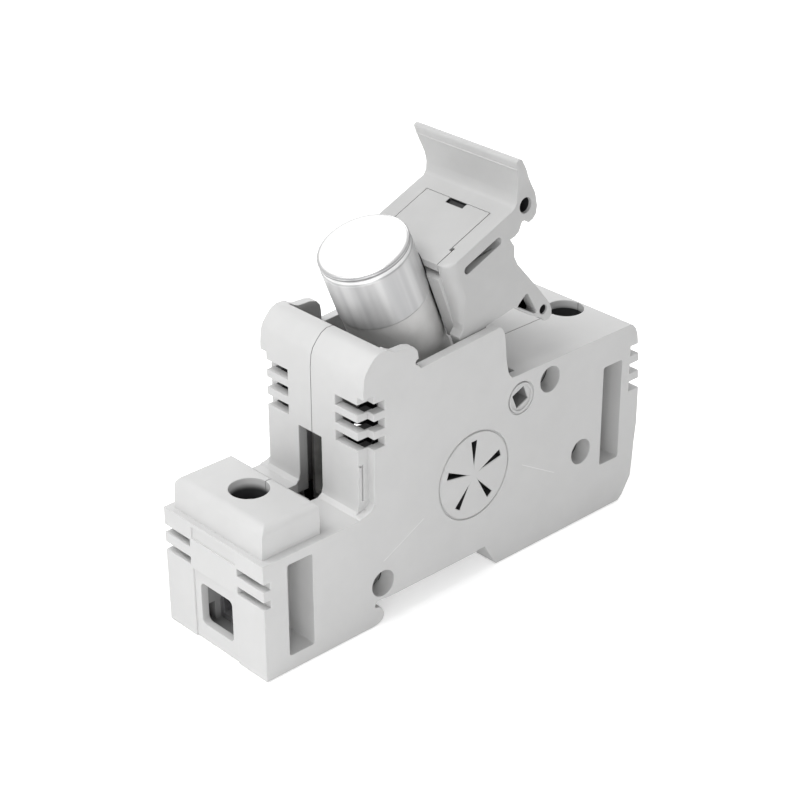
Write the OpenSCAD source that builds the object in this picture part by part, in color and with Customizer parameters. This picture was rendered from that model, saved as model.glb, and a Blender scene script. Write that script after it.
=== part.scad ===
// Fuse base for one cylindrical fuse link, two modules wide, for a 35 mm rail.
// Millimetres, +Z up, origin at the centre of the rail side of the whole part.
// X runs across the rail, from the lower terminal to the raised one.
// Y runs along the rail, the two shells meet on y = 0.

/* [Housing] */
// Overall width across both shells
body_w = 36; // [35.8:0.1:38]
// Thickness of the two side walls
side_t = 2.5; // [2.1:0.1:2.6]
// Thickness of the end walls
end_t = 2.5; // [2.2:0.1:3]
// Height of the raised terminal block
block_h = 50.3; // [50:0.1:51]
// Height of the tower's front edge
tower_h = 71.2; // [71:0.1:71.8]

/* [Fuse link] */
// Diameter over the end caps
link_d = 22.2; // [21.8:0.1:22.3]
// Length of the fuse link
link_len = 58; // [57:0.5:58]
// Length of each end cap
cap_len = 16; // [14:0.5:17]
// How far the link stands drawn out of its home
link_out = 13.8; // [12:0.2:14]

/* [Carrier] */
// Lean of the open carrier from the vertical, degrees
carrier_tilt = 22.6; // [22:0.1:23]
// Thickness of each carrier arm
arm_t = 3.4; // [3:0.1:3.4]
// Radius of the round eye at the pivot
eye_r = 4.5; // [4.3:0.1:4.5]
// Radius of the pivot bush
bush_r = 3.95; // [3.8:0.05:4]

/* [Contacts] */
// Thickness of the fork legs
leg_t = 1; // [0.8:0.1:1]
// Thickness of the terminal tabs
tab_t = 2; // [1.6:0.1:2]
// Thickness of the steel jaw springs
spring_t = 0.7; // [0.5:0.1:0.8]

/* [Terminals] */
// Diameter of the terminal screws
screw_d = 5; // [4.5:0.1:5.5]
// Diameter of the openings above the screws
well_d = 9.5; // [9.2:0.1:10]
// Diameter of the screw heads
head_d = 8; // [7.4:0.1:8.6]
// Height of the raised terminal above the low one
raise = 11.6; // [11.4:0.1:11.6]

/* [Rail] */
// Width of the mounting rail
rail_w = 35; // [35:0.1:35.2]
// Height of the rail seat above the foot
seat_h = 6.2; // [6.1:0.1:6.4]

/* [Fasteners] */
// Outer radius of the tubular rivets
rivet_r = 2.4; // [2.2:0.1:2.4]
// Inner radius of the tubular rivets
rivet_bore_r = 1.8; // [1.6:0.05:1.85]

/* [Clearances] */
// Radial gap of turning and sliding round fits
run_gap = 0.05; // [0.03:0.01:0.08]
// Gap beside flat sliding faces
slide_gap = 0.1; // [0.08:0.01:0.15]
// Gap between a carrier arm and the side wall
arm_gap = 0.3; // [0.2:0.05:0.35]

/* [Show] */
// Piece to draw, or all of them

/* [Hidden] */

eps = 0.01;
hw = body_w / 2;
yi = hw - side_t;

// Colours of the moulded, metal and ceramic pieces.
c_shell = [0.60, 0.61, 0.59];
c_carrier = [0.30, 0.31, 0.31];
c_metal = [0.75, 0.75, 0.74];
c_copper = [0.80, 0.62, 0.45];
c_ceramic = [0.93, 0.92, 0.88];

// Pivot of the carrier in the housing.
piv_x = 18.8;
piv_z = 43.7;

// The carrier's own frame: v across the link, u along it.
// The pivot sits at (piv_v, piv_u), the link's top centre at (0, 0).
piv_v = 14.69;
piv_u = -54.10;

// Arms and link space.
arm_out = yi - arm_gap;
arm_in = arm_out - arm_t;
link_r = link_d / 2;
saddle_r = link_r + 0.15;

// Rim of the end face beside the panel, and the panel's own half widths.
rim_in = arm_in - 0.45;
panel_gap = 0.12;
panel_hw = rim_in - panel_gap;
panel_step = 0.75;

// Fork legs and jaw springs, measured from the mid plane.
leg_in = link_r + 0.1;
leg_out = leg_in + leg_t;
jaw_in = leg_out + 0.02;
jaw_out = jaw_in + spring_t;

// Terminals: centre lines and heights.
low_x = -50.8;
high_x = 53.0;
tab_z = 15.6;
tab_hw = 5.7;
cage_hw = 7.3;
cage_in = tab_hw + slide_gap;
cage_half = 4.4;
cage_bot = 2.8;
cage_floor = 1.6;
nut_bot = 18;
nut_top = 21;
shelf_bot = 28.2;
shelf_top = 30;
tongue_z = 8.6;
screw_r = screw_d / 2;

// Cover over the low terminal.
cover_x0 = -60.2;
cover_x1 = -43.4;
cover_h = 38.8;
ledge_h = 30.8;

// Rail foot.
rail_x0 = -28.4;
foot_x = rail_x0 + rail_w + 0.7;
grip_x = rail_x0 + rail_w - 1.4;

// Rivet positions on the side, x and z.
rivets = [[-26.35, 10.9], [28.8, 45.2], [41.0, 20.4]];
recess_r = 3.4;
recess_d = 5;
recess_wall = 1.3;
bush_hole_r = bush_r + run_gap;

// Latch slider.
slot_z0 = 1.0;
slot_z1 = 4.6;
slot_hw = 6.1;
nose_x = grip_x + 3.4;
stop_x = 46;

// Deep pockets in the side faces: low one and raised one, x and z.
pockets = [[-55.0, -47.7, 4.0, 28.2], [48.4, 55.2, 13.6, 41.4]];
pocket_floor = cage_hw + slide_gap + 1.8;

// Centre and radii of the vented disc on the side face.
disc_x = 3.2;
disc_z = 28.5;
disc_r = 11.7;

// Square of the bush: key in the arm and socket in its face.
key_w = 5.6;
socket_w = 4.1;

// Points on an arc, degrees from a0 to a1.
function arc(cx, cz, r, a0, a1, n) =
    [for (i = [0:n]) let (a = a0 + (a1 - a0) * i / n) [cx + r * cos(a), cz + r * sin(a)]];

// Points of a rectangle with rounded corners.
function round_rect(x0, x1, z0, z1, r, n = 4) = concat(
    arc(x1 - r, z0 + r, r, -90, 0, n),
    arc(x1 - r, z1 - r, r, 0, 90, n),
    arc(x0 + r, z1 - r, r, 90, 180, n),
    arc(x0 + r, z0 + r, r, 180, 270, n));

// Box between two corners.
module block(x0, x1, y0, y1, z0, z1) {
    translate([x0, y0, z0])
        cube([x1 - x0, y1 - y0, z1 - z0]);
}

// Prism along Y over an outline in X and Z.
module side_prism(pts, y0, y1) {
    translate([0, y1, 0])
        rotate([90, 0, 0])
            linear_extrude(y1 - y0)
                polygon(pts);
}

// Prism along X over an outline in Y and Z.
module end_prism(pts, x0, x1) {
    translate([x0, 0, 0])
        rotate([90, 0, 90])
            linear_extrude(x1 - x0)
                polygon(pts);
}

// Round bar along Y.
module y_bar(x, z, r, y0, y1) {
    translate([x, y1, z])
        rotate([90, 0, 0])
            cylinder(h = y1 - y0, r = r, $fn = 64);
}

// Round bar along Z.
module z_bar(x, y, r, z0, z1) {
    translate([x, y, z0])
        cylinder(h = z1 - z0, r = r, $fn = 64);
}

// The same shapes measured outwards from the mid plane on side s.
module half_block(s, x0, x1, a, b, z0, z1) {
    if (s < 0)
        block(x0, x1, -b, -a, z0, z1);
    else
        block(x0, x1, a, b, z0, z1);
}

module half_prism(s, pts, a, b) {
    if (s < 0)
        side_prism(pts, -b, -a);
    else
        side_prism(pts, a, b);
}

module half_bar(s, x, z, r, a, b) {
    if (s < 0)
        y_bar(x, z, r, -b, -a);
    else
        y_bar(x, z, r, a, b);
}

// Moves children from the carrier's frame [v, y, u] to the part's frame.
module in_carrier() {
    translate([piv_x, 0, piv_z])
        rotate([0, -carrier_tilt, 0])
            translate([-piv_v, 0, -piv_u])
                children();
}

// Side outline of the housing: feet, ends, raised block and tower.
shell_pts = [
    [-62.05, 0], [rail_x0 - 0.5, 0],
    [-27.6, 0.3], [-26.6, 1.0], [-26.1, 1.9],
    [-26.2, 3.1], [-26.7, 4.2], [-27.5, 4.8],
    [-28.5, 5.0], [rail_x0 - 0.5, 5.3], [rail_x0 - 0.5, seat_h - 0.3],
    [-28.2, seat_h + 0.3], [-26.9, seat_h + 0.4], [-25.0, seat_h],
    [foot_x - 2.9, seat_h], [foot_x - 2.5, seat_h + 0.4],
    [foot_x, seat_h + 0.4], [foot_x + 0.3, seat_h - 0.4],
    [foot_x + 4.0, 0],
    [56.4, 0], [57.8, 1.2], [58.9, 2.9], [60.7, 5.8],
    [61.1, 10.2], [61.5, 16], [62.05, 21], [62.05, 31],
    [61.7, 35.4], [61.4, 40.3], [61.1, 43.8],
    [60.6, block_h - 3.3], [59.9, block_h - 1.6],
    [58.9, block_h - 0.5], [57.75, block_h],
    [15.65, block_h], [14.8, 51.2], [14.25, 52.2], [13.5, 55.7],
    [13.0, 61.1], [12.7, 62.9], [12.1, 64.2], [11.3, 65.0],
    [10.5, 65.2], [9.8, 65.0],
    [-10.95, 63.5], [-14.2, 63.3], [-14.9, 64.0],
    [-15.0, 66.3], [-15.3, 67.9], [-16.4, 69.2], [-18.4, 69.8],
    [-22.0, 69.9], [-23.2, 70.4], [-24.4, tower_h],
    [-26.8, tower_h], [-28.4, 70.5], [-29.8, 69.1],
    [-31.0, 67.6], [-31.6, 66.0], [-31.9, 63.0],
    [-31.9, 33.3], [-32.3, 31.7], [-33.4, ledge_h],
    [-62.05, ledge_h]];

// Inner space of the low terminal chamber.
low_cav = [
    [-62.05 + end_t, 2.5], [-34.5, 2.5],
    [-34.5, shelf_bot], [-62.05 + end_t, shelf_bot]];

// Inner space of the tower and of the raised block.
main_cav = [
    [-32.5, 8.7], [9.3, 8.7], [12.8, 7.0], [58.2, 7.0],
    [62.05 - end_t - 0.1, 12.0], [62.05 - end_t - 0.1, 31.0],
    [61.2 - end_t, 43.0], [57.2, block_h - 2],
    [15.65, block_h - 2], [15.65, 80], [-24.8, 80],
    [-24.8, 68.6], [-29.4, 62.0], [-29.4, shelf_bot],
    [-32.5, shelf_bot]];

// One housing shell; s is -1 on the near side and 1 on the far side.
module shell(s) {
    difference() {
        union() {
            difference() {
                union() {
                    half_prism(s, shell_pts, 0, hw);
                    shell_cover(s);
                }
                half_prism(s, low_cav, -1, yi);
                half_prism(s, main_cav, -1, yi);
                half_block(s, cover_x0 + 2.5, cover_x1 - 2.5,
                    -1, 13.4, shelf_bot - 1, cover_h - 2.5);
            }
            shell_ribs(s);
        }
        shell_cuts(s);
    }
}

// Raised cover over the low terminal screw.
module shell_cover(s) {
    intersection() {
        half_prism(s, concat(
            [[cover_x0 - 0.3, ledge_h - 0.5], [cover_x1, ledge_h - 0.5]],
            arc(cover_x1 - 1.6, cover_h - 1.6, 1.6, 0, 90, 5),
            arc(cover_x0 + 2.6, cover_h - 2.6, 2.6, 90, 180, 6)),
            0, 15.9);
        end_prism(concat(
            [[-15.9, ledge_h - 1], [15.9, ledge_h - 1]],
            arc(15.9 - 2.0, cover_h - 2.0, 2.0, 0, 90, 5),
            arc(2.0 - 15.9, cover_h - 2.0, 2.0, 90, 180, 5)),
            cover_x0 - 1, cover_x1 + 1);
    }
}

// Ribs, bosses, screw guides and partitions inside a shell.
module shell_ribs(s) {
    intersection() {
        half_block(s, -70, 70, 0, yi + 0.5, 0, 80);
        union() {
            // Screw guides below both openings.
            z_bar(low_x, 0, well_d / 2 + 1.8, shelf_bot, cover_h - 1);
            z_bar(high_x, 0, well_d / 2 + 1.8,
                shelf_bot + raise, block_h - 1);
            // Bosses around the three rivets.
            for (p = rivets) {
                y_bar(p[0], p[1], 3.9, -yi - 0.5, yi + 0.5);
                half_bar(s, p[0], p[1], recess_r + recess_wall,
                    hw - recess_d - 1.5, yi + 0.5);
            }
            // Corner posts of the tower behind the louvres.
            half_block(s, -29.6, -27.0, 13.2, yi + 0.3, 29, 61.5);
            // Wall between the low chamber and the tower.
            half_block(s, -34.6, -32.4, 0, yi + 0.3, 2, 29);
            // Wall between the raised chamber and the tower.
            half_block(s, 45.2, 46.8, 0, yi + 0.3, 6, 27);
            half_block(s, 41.2, 42.8, 0, yi + 0.3, 22, block_h - 1.5);
            // Walls of the side pockets, which guide the cages too.
            for (p = pockets)
                half_block(s, p[0] - 1.6, p[1] + 1.6,
                    cage_hw + slide_gap, yi + 0.3, p[2] - 2, p[3] + 1.6);
            // Cheeks of the funnels behind the cable entries.
            half_block(s, cover_x0, low_x - cage_half - 0.6, 5.9, 9,
                tongue_z, 15.8);
            half_block(s, high_x + cage_half + 0.6, 60.5, 5.9, 9,
                tongue_z + raise, 15.8 + raise);
            // Ledges that carry the two fork contacts.
            half_block(s, -21.9, -12.9, jaw_out + 0.1,
                yi + 0.3, 14, 22);
            // Stop for the latch spring.
            half_block(s, stop_x, stop_x + 1.4, 0, 2, 0.5, 5.5);
        }
    }
}

// Openings and recesses of a shell.
module shell_cuts(s) {
    // Channel of the rail latch and its open ends.
    difference() {
        half_block(s, 5, 60.5, -1, slot_hw, slot_z0, slot_z1);
        half_block(s, stop_x, stop_x + 1.4, -2, 2, 0, 6);
    }
    half_block(s, 5, nose_x + 3.7, -1, slot_hw, slot_z0, 5.1);
    half_block(s, 51, 60.5, -1, 3, -1, slot_z0 + 0.5);
    // Pockets beside the latch channel.
    half_block(s, 15, 44, 8.1, yi, 2.5, 8);
    half_block(s, 48.5, 55.5, 8.1, yi, 2.5, 8);
    // Screw openings with their bearing holes.
    z_bar(low_x, 0, well_d / 2, shelf_top, cover_h + 5);
    z_bar(low_x, 0, screw_r + run_gap, shelf_bot - 5, shelf_top + 1);
    z_bar(high_x, 0, well_d / 2, shelf_top + raise, block_h + 5);
    z_bar(high_x, 0, screw_r + run_gap,
        shelf_bot + raise - 5, shelf_top + raise + 1);
    // Slots in the partitions for the terminal tabs.
    half_block(s, -35, -32, -1, tab_hw, tab_z, tab_z + tab_t);
    half_block(s, 40, 48, -1, tab_hw,
        tab_z + raise, tab_z + raise + tab_t);
    // Cable entries in both ends.
    end_prism(round_rect(-5.7, 5.7, 4.6, 15.6, 1.2), -64, -58);
    end_prism(round_rect(-5.7, 5.7, 4.6 + raise, 15.6 + raise, 1.2),
        56, 64);
    // Slots beside the carrier arms in the roof of the raised block.
    half_block(s, 12, 18.6, arm_in - 0.3, yi - 0.02,
        block_h - 3, block_h + 0.5);
    half_bar(s, piv_x, piv_z, eye_r + 0.5, arm_in - 0.3, yi - 0.02);
    // Bores for the pivot and for the rivets.
    half_bar(s, piv_x, piv_z, bush_hole_r, yi - 1, hw + 1);
    for (p = rivets) {
        half_bar(s, p[0], p[1], rivet_r + run_gap, -1, hw + 1);
        half_bar(s, p[0], p[1], recess_r, hw - recess_d, hw + 1);
    }
    // Chamfer around the pivot bush.
    half_bar(s, piv_x, piv_z, bush_hole_r + 0.35, hw - 0.35, hw + 1);
    // Stepped corners of the tower and the louvres through them.
    half_prism(s, [
        [-35, 31.2], [-31.9, 31.2], [-29.9, 31.9], [-28.8, 33.3],
        [-28.8, 61], [-35, 61]], 15.9, hw + 1);
    for (z = [47.5, 52.1, 56.6])
        half_block(s, -33, -25.5, 8.3, hw + 1, z, z + 2.5);
    // Hooked groove on the stepped corner, and a notch at the well's edge.
    half_block(s, -30.6, -30.2, 15.3, 16.5, 34.0, 43.4);
    half_block(s, -31.3, -30.2, 15.3, 16.5, 43.0, 43.4);
    half_bar(s, -15.2, 65.0, 0.7, hw - 1.2, hw + 1);
    // Louvres across the corners of the low end.
    for (z = [19.4, 24.1]) {
        half_block(s, -63, -62.05 + end_t + 0.1, 8.6, yi - 1, z, z + 1.9);
        half_block(s, -63, -60, 8.6, hw + 1, z, z + 1.9);
    }
    // Louvres across the corners of the raised end.
    for (z = [31.4, 36.4, 41.4])
        half_block(s, 58.3, 64, 8.6, hw + 1, z, z + 2.6);
    // Deep pockets in the side face.
    for (p = pockets)
        half_prism(s, round_rect(p[0], p[1], p[2], p[3], 0.6, 2),
            pocket_floor, hw + 1);
    // Disc with five wedge slots in the middle of the side face.
    half_bar_ring(s, disc_x, disc_z, disc_r, disc_r - 0.45, 0.5);
    for (a = [90:72:378])
        half_prism(s, concat(
            arc(disc_x, disc_z, 9.2, a - 6, a + 6, 3),
            [[disc_x + 2.4 * cos(a), disc_z + 2.4 * sin(a)]]),
            hw - 4, hw + 1);
    // Panel let back around the cable entry of the low end.
    half_block(s, -63, -61.65, -1, 7.8, -1, 18.6);
    half_block(s, -63, -61.65, -1, 7.8, 26.6, ledge_h - 1.2);
    // Window in the tower's front for the contact.
    side_window();
}

// Shallow ring groove in a side face.
module half_bar_ring(s, x, z, r_out, r_in, d) {
    difference() {
        half_bar(s, x, z, r_out, hw - d, hw + 1);
        half_bar(s, x, z, r_in, hw - d - 1, hw + 2);
    }
}

// Slot through the tower's front wall, a little off the mid plane.
module side_window() {
    side_prism([
        [-36.6, 31.4], [-35.6, 29.4], [-34.0, 28.1], [-28, 28.1],
        [-28, 46.1], [-37, 46.1], [-37, 31.4]], -3.2, 4.6);
}

module housing_near() {
    color(c_shell)
        shell(-1);
}

module housing_far() {
    color(c_shell)
        shell(1);
}

// Outline of a carrier arm: cheek, cradle edge, arm and wing.
arm_pts = [
    [9.5, -9.2], [9.0, -12.6], [8.6, -19.4], [8.0, -25.2],
    [7.4, -26.6], [5.8, -27.6], [5.8, -44.0], [7.4, -48.6],
    [10.6, -52.2], [10.6, -54.1], [18.9, -54.1], [18.6, -52.4],
    [14.0, -49.2], [14.0, -46.0], [14.0, -30.9], [23.1, -32.7],
    [26.7, -38.1], [29.4, -41.4], [30.4, -43.2], [31.7, -43.8],
    [33.0, -43.2],
    [33.6, -41.7], [33.5, -40.0], [31.9, -34.3], [30.2, -29.0],
    [28.2, -23.0], [28.0, -20.5], [29.0, -18.0], [28.5, -15.6],
    [30.0, -15.8], [31.5, -15.5], [32.4, -14.6], [33.2, -13.9],
    [34.2, -14.2], [35.0, -15.5], [36.5, -15.5], [37.8, -14.9],
    [38.8, -13.2], [39.3, -10.5], [36.0, -9.0], [33.4, -8.4],
    [32.0, -9.2]];

// Pull handle from the side: inner face, tip and outer face.
handle_pts = [
    [31.0, -9.2], [32.0, -9.2], [33.2, -8.4], [34.1, -6.6],
    [34.7, -4.4], [35.0, -2.0], [35.2, 0.5], [35.0, 0.7],
    [35.2, 0.9], [35.4, 2.6], [35.8, 3.0], [36.6, 2.9],
    [37.3, 2.2], [38.2, -1.6], [39.0, -6.0], [39.4, -9.4],
    [39.3, -10.5], [38.8, -13.2], [37.8, -14.9], [36.5, -15.5],
    [35.0, -15.5], [33.8, -11.8], [31.0, -11.8]];

// Room behind the handle plate, between its two end cheeks.
handle_room = [
    [34.2, -20], [34.2, -12.2], [35.4, -11.0], [36.2, -9.0],
    [36.8, -6.0], [37.1, -2.0], [37.0, -0.8], [37.6, -0.6],
    [45, -0.6], [45, -20]];

// Outline of the handle seen along its normal, half width against u.
handle_flare = [
    [-arm_out, -16], [arm_out, -16], [arm_out, -6.4],
    [arm_out + 0.35, -4.2], [arm_out + 1.3, -1.0],
    [arm_out + 2.0, 3.2], [-arm_out - 2.0, 3.2],
    [-arm_out - 1.3, -1.0], [-arm_out - 0.35, -4.2],
    [-arm_out, -6.4]];

module carrier() {
    color(c_carrier)
        in_carrier()
            carrier_solid();
}

module carrier_solid() {
    difference() {
        union() {
            for (s = [-1, 1]) {
                half_prism(s, arm_pts, arm_in, arm_out);
                half_bar(s, piv_v, piv_u, eye_r, arm_in, arm_out);
                // Thick rim beside the panel.
                half_prism(s, [
                    [9.5, -9.2], [9.0, -12.6], [28.5, -12.6],
                    [32.0, -11.0], [32.0, -9.2]],
                    rim_in, arm_in + 0.1);
                half_prism(s, [
                    [15.6, -9.2], [15.6, -12.4], [28.5, -12.4],
                    [28.9, -9.2]], rim_in - panel_step, rim_in + 0.1);
            }
            // Strip behind the panel and the pull handle.
            side_prism([
                [28.7, -9.2], [32.0, -9.2], [33.4, -11.6],
                [31.0, -15.6], [28.5, -15.6], [26.6, -11.3], [28.7, -11.3]],
                -arm_in - 0.1, arm_in + 0.1);
            intersection() {
                side_prism(handle_pts, -20, 20);
                translate([50, 0, 0])
                    rotate([0, -90, 0])
                        rotate([0, 0, 90])
                            linear_extrude(60)
                                polygon([for (p = handle_flare) [p[0], -p[1]]]);
            }
            // Back wall along the wing.
            side_prism([
                [28.5, -15.6], [29.0, -18.0], [28.0, -20.5],
                [28.2, -23.0], [30.2, -29.0], [31.9, -34.3],
                [33.5, -40.0], [33.6, -41.7], [33.0, -43.2],
                [31.9, -43.2], [31.6, -40.5], [30.0, -34.9],
                [28.3, -29.6], [26.2, -23.4], [26.0, -20.3],
                [26.9, -17.8], [26.5, -15.4], [26.6, -11.3],
                [28.6, -11.3]],
                -arm_in - 0.1, arm_in + 0.1);
            // Lower wall that closes the box of the carrier.
            side_prism([
                [12.2, -28.9], [14.0, -30.9], [23.1, -32.7],
                [28.9, -31.6], [28.3, -29.8], [22.9, -30.8]],
                -arm_in - 0.1, arm_in + 0.1);
            // Saddle behind the link.
            side_prism([
                [8.0, -12.6], [14.5, -12.6], [14.5, -30.5],
                [14.0, -30.9], [7.4, -30.9]],
                -arm_in - 0.1, arm_in + 0.1);
        }
        // Space of the fuse link.
        translate([0, 0, -70])
            cylinder(h = 90, r = saddle_r, $fn = 96);
        // Pocket of the leaf spring in the saddle.
        block(8, 14.05, -3.2, 3.2, -29.4, -13.2);
        // Triangle in the wing.
        for (s = [-1, 1])
            half_prism(s, [
                [24.3, -33.5], [24.8, -33.1], [27.6, -32.2],
                [28.2, -32.5], [29.0, -38.5], [28.7, -39.0],
                [28.2, -38.8]], arm_in - 1, arm_out + 1);
        // Slots where the panel's legs catch.
        for (s = [-1, 1])
            half_prism(s, round_rect(13.5, 26.0, -14.4, -12.4, 0.95),
                arm_in - 1, arm_out + 1);
        // Sealing hole and the small hole in the wing's tip.
        y_bar(35.6, -10.7, 1.9, -20, 20);
        y_bar(31.1, -40.0, 1.2, -20, 20);
        // Room between the cheeks behind the handle, round the tube
        // that carries the sealing hole across.
        difference() {
            side_prism(handle_room, -arm_in, arm_in);
            y_bar(35.6, -10.7, 3.1, -20, 20);
        }
        // Square seats of the pivot bushes.
        translate([piv_v, 0, piv_u])
            rotate([90, 0, 0])
                cube([key_w, key_w, 60], center = true);
    }
}

// Panel let into the end face, with legs that catch in the arms.
module carrier_panel() {
    color(c_carrier)
        in_carrier()
            difference() {
                union() {
                    side_prism([
                        [9.5, -9.2], [28.6, -9.2], [28.6, -11.3],
                        [9.3, -11.3]], panel_step - panel_hw,
                        panel_hw - panel_step);
                    side_prism([
                        [9.5, -9.2], [14.6, -9.2], [14.6, -11.3],
                        [9.3, -11.3]], -panel_hw, panel_hw);
                    for (s = [-1, 1]) {
                        half_prism(s, [
                            [16.0, -11.2], [24.0, -11.2],
                            [24.0, -15.4], [16.0, -15.4]],
                            panel_hw - 2.1, panel_hw - panel_step);
                        half_prism(s, [
                            [21.4, -12.7], [24.0, -12.7],
                            [24.0, -14.2], [21.4, -14.2]],
                            panel_hw - panel_step - 0.1, arm_in + 1.2);
                    }
                }
                translate([0, 0, -70])
                    cylinder(h = 90, r = saddle_r, $fn = 96);
                block(26.9, 29, -3.0, 2.6, -9.9, -8);
            }
}

// Pivot bush: round journal in the shell, square key in the arm.
module bush(s) {
    color(c_carrier)
        difference() {
            union() {
                half_bar(s, piv_x, piv_z, bush_r, arm_out + 0.02, hw);
                intersection() {
                    translate([piv_x, 0, piv_z])
                        rotate([0, -carrier_tilt, 0])
                            rotate([90, 0, 0])
                                cube([key_w, key_w, 60], center = true);
                    half_block(s, 0, 40, arm_in, arm_out + 0.1, 20, 70);
                }
            }
            translate([piv_x, 0, piv_z])
                rotate([0, -carrier_tilt, 0])
                    half_block(s, -socket_w / 2, socket_w / 2,
                        hw - 4.6, hw + 1, -socket_w / 2, socket_w / 2);
            half_bar(s, piv_x, piv_z, bush_r - 0.6, hw - 0.4, hw + 1);
        }
}

module pivot_bush_near() {
    bush(-1);
}

module pivot_bush_far() {
    bush(1);
}

// Ceramic tube, necked down where the caps sit.
module fuse_tube() {
    color(c_ceramic)
        in_carrier()
            translate([0, 0, -link_len])
                rotate_extrude($fn = 96)
                    polygon([
                        [0, 1.2], [link_r - 0.75, 1.2],
                        [link_r - 0.75, cap_len],
                        [link_r - 0.25, cap_len],
                        [link_r - 0.25, link_len - cap_len],
                        [link_r - 0.75, link_len - cap_len],
                        [link_r - 0.75, link_len - 1.2],
                        [0, link_len - 1.2]]);
}

// Outline of an end cap from its rim to its face, radius and length.
cap_pts = [
    [link_r - 0.7, 0], [link_r - 0.15, 0], [link_r, 0.2],
    [link_r, cap_len - 2.5], [link_r - 0.1, cap_len - 2.2],
    [link_r - 0.45, cap_len - 1.85], [link_r - 0.45, cap_len - 1.45],
    [link_r - 0.1, cap_len - 1.15], [link_r - 0.05, cap_len - 0.7],
    [link_r - 0.35, cap_len - 0.2], [link_r - 0.9, cap_len],
    [0, cap_len], [0, cap_len - 1.15],
    [link_r - 0.7, cap_len - 1.15]];

module fuse_cap_upper() {
    color(c_metal)
        in_carrier()
            translate([0, 0, -cap_len])
                rotate_extrude($fn = 96)
                    polygon(cap_pts);
}

module fuse_cap_lower() {
    color(c_metal)
        in_carrier()
            translate([0, 0, -link_len + cap_len])
                mirror([0, 0, 1])
                    rotate_extrude($fn = 96)
                        polygon(cap_pts);
}

// Leaf spring in the saddle, bowed against the link.
module link_spring() {
    color(c_metal)
        in_carrier()
            side_prism([
                [14.0, -13.4], [13.4, -13.4], [11.6, -19.0],
                [link_r + 0.1, -20.6], [link_r + 0.1, -22.0],
                [11.6, -23.6], [13.4, -29.2], [14.0, -29.2],
                [14.0, -28.9], [12.2, -23.4], [11.75, -21.9],
                [11.75, -20.7], [12.2, -19.2], [14.0, -13.7]], -3, 3);
}

// Left fork: legs, floor and the bent strip to the terminal tab.
module contact_left() {
    color(c_copper)
        union() {
            for (s = [-1, 1]) {
                half_prism(s, [
                    [-21.9, 19.6], [-12.9, 19.6], [-12.9, 40.0],
                    [-13.4, 40.8], [-21.4, 40.8], [-21.9, 40.0]],
                    leg_in, leg_out);
                half_lip(s, -21.4, -13.4, 40.6);
            }
            block(-21.9, -12.9, -leg_out, leg_out, 19.6, 21.4);
            side_prism([
                [-56.4, tab_z], [-31.5, tab_z], [-27.4, 19.6],
                [-21.5, 19.6], [-21.5, 21.4], [-28.2, 21.4],
                [-32.4, tab_z + tab_t], [-56.4, tab_z + tab_t]],
                -tab_hw, tab_hw);
        }
}

// Lip at the top of a fork leg, turned outwards for the link.
module half_lip(s, x0, x1, z) {
    translate([x0, 0, 0])
        rotate([90, 0, 90])
            linear_extrude(x1 - x0)
                polygon([
                    [s * leg_in, z], [s * leg_out, z],
                    [s * (leg_out + 0.9), z + 1.5],
                    [s * (leg_in + 1.1), z + 1.9]]);
}

// Right fork: legs on an upright plate, tab to the raised terminal.
module contact_right() {
    color(c_copper)
        union() {
            for (s = [-1, 1])
                half_prism(s, [
                    [22.6, 21.5], [24.0, 19.2], [36.8, 24.9],
                    [36.8, 34.0], [30.0, 36.4], [24.6, 35.0],
                    [22.6, 33.0]], leg_in, leg_out);
            block(36.7, 38.3, -leg_out, leg_out, 24.9, 34.0);
            block(38.0, 58.2, -tab_hw, tab_hw,
                tab_z + raise, tab_z + raise + tab_t);
        }
}

// Steel spring around the left fork, below and beside it.
module jaw_spring_left() {
    color(c_metal)
        union() {
            for (s = [-1, 1])
                half_block(s, -20.4, -14.4, jaw_in, jaw_out, 18.9, 37.5);
            block(-20.4, -14.4, -jaw_out, jaw_out, 18.9, 19.58);
        }
}

// Steel spring around the right fork, with a window for the tab.
module jaw_spring_right() {
    color(c_metal)
        difference() {
            union() {
                for (s = [-1, 1])
                    half_block(s, 26.0, 39.0, jaw_in, jaw_out, 26.0, 32.6);
                block(38.32, 39.0, -jaw_out, jaw_out, 26.0, 32.6);
            }
            block(37, 40, -tab_hw - 0.2, tab_hw + 0.2,
                tab_z + raise - 0.2, tab_z + raise + tab_t + 0.2);
        }
}

// Rising cage of a terminal at (x, dz) above the low one.
module cage(x, dz) {
    color(c_metal)
        translate([x, 0, dz])
            difference() {
                block(-cage_half, cage_half, -cage_hw, cage_hw,
                    cage_bot, nut_top);
                block(-cage_half - 1, cage_half + 1, -cage_in, cage_in,
                    cage_bot + cage_floor, nut_bot);
                z_bar(0, 0, screw_r + run_gap, nut_bot - 1, nut_top + 1);
            }
}

module terminal_cage_left() {
    cage(low_x, 0);
}

module terminal_cage_right() {
    cage(high_x, raise);
}

// Captive screw with a cross and slot recess.
module screw(x, dz) {
    color(c_metal)
        translate([x, 0, dz])
            difference() {
                rotate_extrude($fn = 64)
                    polygon([
                        [0, tab_z + tab_t + 0.05],
                        [screw_r - 0.6, tab_z + tab_t + 0.05],
                        [screw_r, tab_z + tab_t + 0.7],
                        [screw_r, shelf_top + 0.05],
                        [head_d / 2, shelf_top + 0.05],
                        [head_d / 2, 33.5],
                        [head_d / 2 - 0.5, 34.0],
                        [0, 34.0]]);
                block(-head_d, head_d, -0.6, 0.6, 32.6, 35);
                block(-2.4, 2.4, -0.55, 0.55, 31.8, 35);
                block(-0.55, 0.55, -2.4, 2.4, 31.8, 35);
            }
}

module terminal_screw_left() {
    screw(low_x, 0);
}

module terminal_screw_right() {
    screw(high_x, raise);
}

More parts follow.
